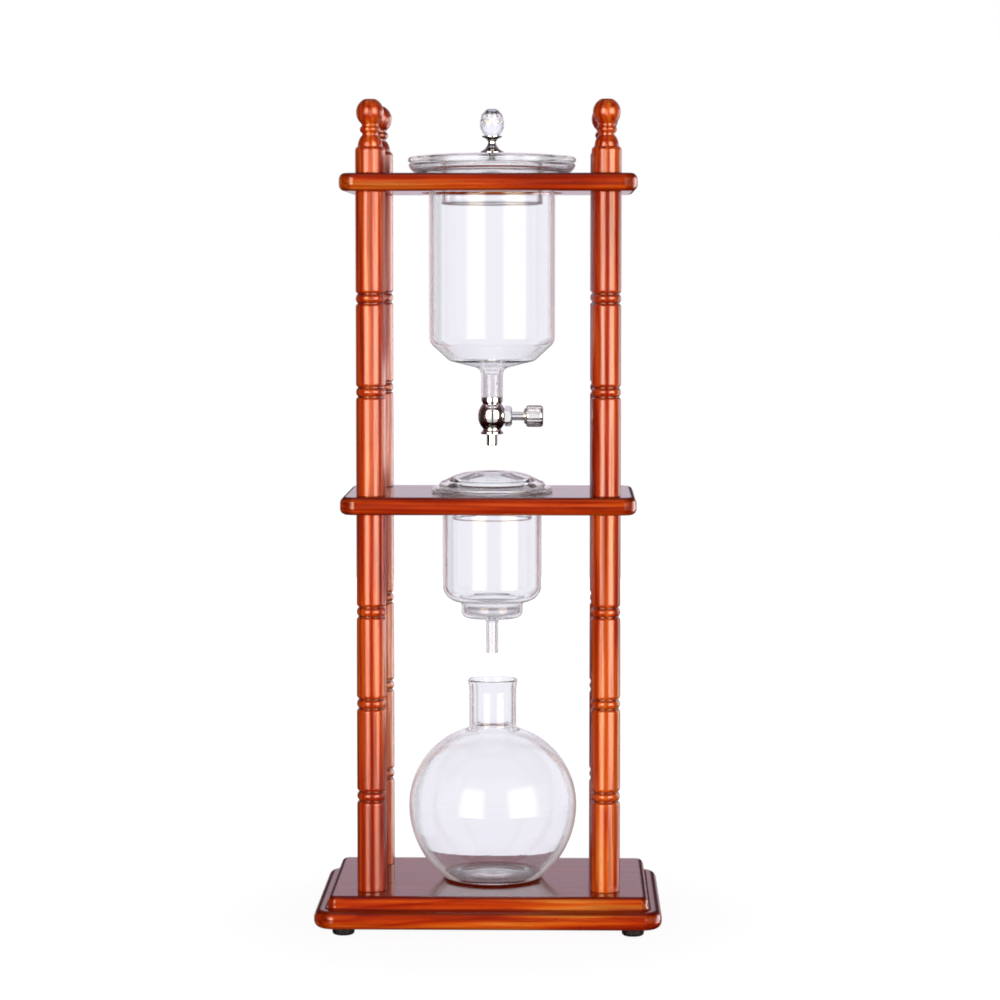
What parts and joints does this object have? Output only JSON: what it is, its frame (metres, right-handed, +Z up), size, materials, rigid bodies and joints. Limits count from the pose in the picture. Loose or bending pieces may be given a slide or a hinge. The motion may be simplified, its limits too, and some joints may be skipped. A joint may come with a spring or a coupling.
{
  "type": "cold drip coffee tower",
  "caption": "Wooden cold drip coffee stand with turned posts, a lidded glass water vessel with needle valve, a filter vessel with spreader lid, and a round glass carafe.",
  "frame": {"origin": "on the table under the middle of the base, at the level of the feet", "axes": "+Z up, +X towards the side where the valve knob stands out, -Y to the front"},
  "size_m": [0.2526, 0.1774, 0.6065],
  "materials": {
    "stained_wood": "red-brown stain under gloss lacquer",
    "foot_rubber": "matte",
    "black_rubber": "matte",
    "zinc_steel": "zinc plated",
    "clear_glass": "clear polished borosilicate",
    "crystal_glass": "cut and polished",
    "silicone": "milky translucent",
    "chrome_plate": "polished",
    "sintered_disc": "porous matte"
  },
  "bodies": {
    "stand": {"base_board": "stained_wood", "middle_shelf": "stained_wood", "top_shelf": "stained_wood", "lower_post_front_left": "stained_wood", "lower_post_front_right": "stained_wood", "lower_post_back_left": "stained_wood", "lower_post_back_right": "stained_wood", "upper_post_front_left": "stained_wood", "upper_post_front_right": "stained_wood", "upper_post_back_left": "stained_wood", "upper_post_back_right": "stained_wood", "finial_front_left": "stained_wood", "finial_front_right": "stained_wood", "finial_back_left": "stained_wood", "finial_back_right": "stained_wood", "foot_front_left": "foot_rubber", "foot_front_right": "foot_rubber", "foot_back_left": "foot_rubber", "foot_back_right": "foot_rubber", "middle_dowel_screws": "zinc_steel", "top_dowel_screws": "zinc_steel", "base_bolts": "zinc_steel", "foot_screws": "zinc_steel"},
    "water_assembly": {"water_vessel": "clear_glass", "valve_sleeve": "silicone", "valve_body": "chrome_plate", "packing_nut": "chrome_plate", "drip_spout": "chrome_plate"},
    "water_lid_assembly": {"water_lid": "clear_glass", "lid_knob_base": "chrome_plate", "crystal_knob": "crystal_glass", "knob_screw": "zinc_steel", "knob_washer": "silicone"},
    "valve_needle": {"valve_stem": "chrome_plate", "stem_o_ring": "black_rubber"},
    "valve_grip": {"valve_knob": "chrome_plate", "knob_set_screw": "zinc_steel"},
    "coffee_assembly": {"coffee_vessel": "clear_glass", "filter_disc": "sintered_disc", "filter_gasket": "silicone"},
    "coffee_cover": {"coffee_lid": "clear_glass"},
    "flask": {"carafe": "clear_glass"}
  },
  "joints": [
    {"name": "water_vessel_lift", "type": "slide", "parent": "stand", "child": "water_assembly", "axis": [0, 0, 1], "range_m": [0, 0.21]},
    {"name": "water_lid_lift", "type": "slide", "parent": "water_assembly", "child": "water_lid_assembly", "axis": [0, 0, 1], "range_m": [0, 0.06]},
    {"name": "needle_travel", "type": "slide", "parent": "water_assembly", "child": "valve_needle", "axis": [1, 0, 0], "range_m": [0, 0.0012]},
    {"name": "valve_turn", "type": "hinge", "parent": "valve_needle", "child": "valve_grip", "pos_m": [0.0315, 0, 0.3756], "axis": [1, 0, 0], "range_deg": [0, 540]},
    {"name": "coffee_vessel_lift", "type": "slide", "parent": "stand", "child": "coffee_assembly", "axis": [0, 0, 1], "range_m": [0, 0.135]},
    {"name": "coffee_lid_lift", "type": "slide", "parent": "coffee_assembly", "child": "coffee_cover", "axis": [0, 0, 1], "range_m": [0, 0.04]},
    {"name": "carafe_slide", "type": "slide", "parent": "stand", "child": "flask", "axis": [0, -1, 0], "range_m": [0, 0.13]}
  ],
  "couplings": [
    {"joint": "valve_turn", "follows": "needle_travel", "rad_per_m": 7854},
    {"joint": "coffee_vessel_lift", "follows": "water_vessel_lift", "ratio": 0.62},
    {"joint": "coffee_lid_lift", "follows": "water_vessel_lift", "ratio": 0.17}
  ]
}
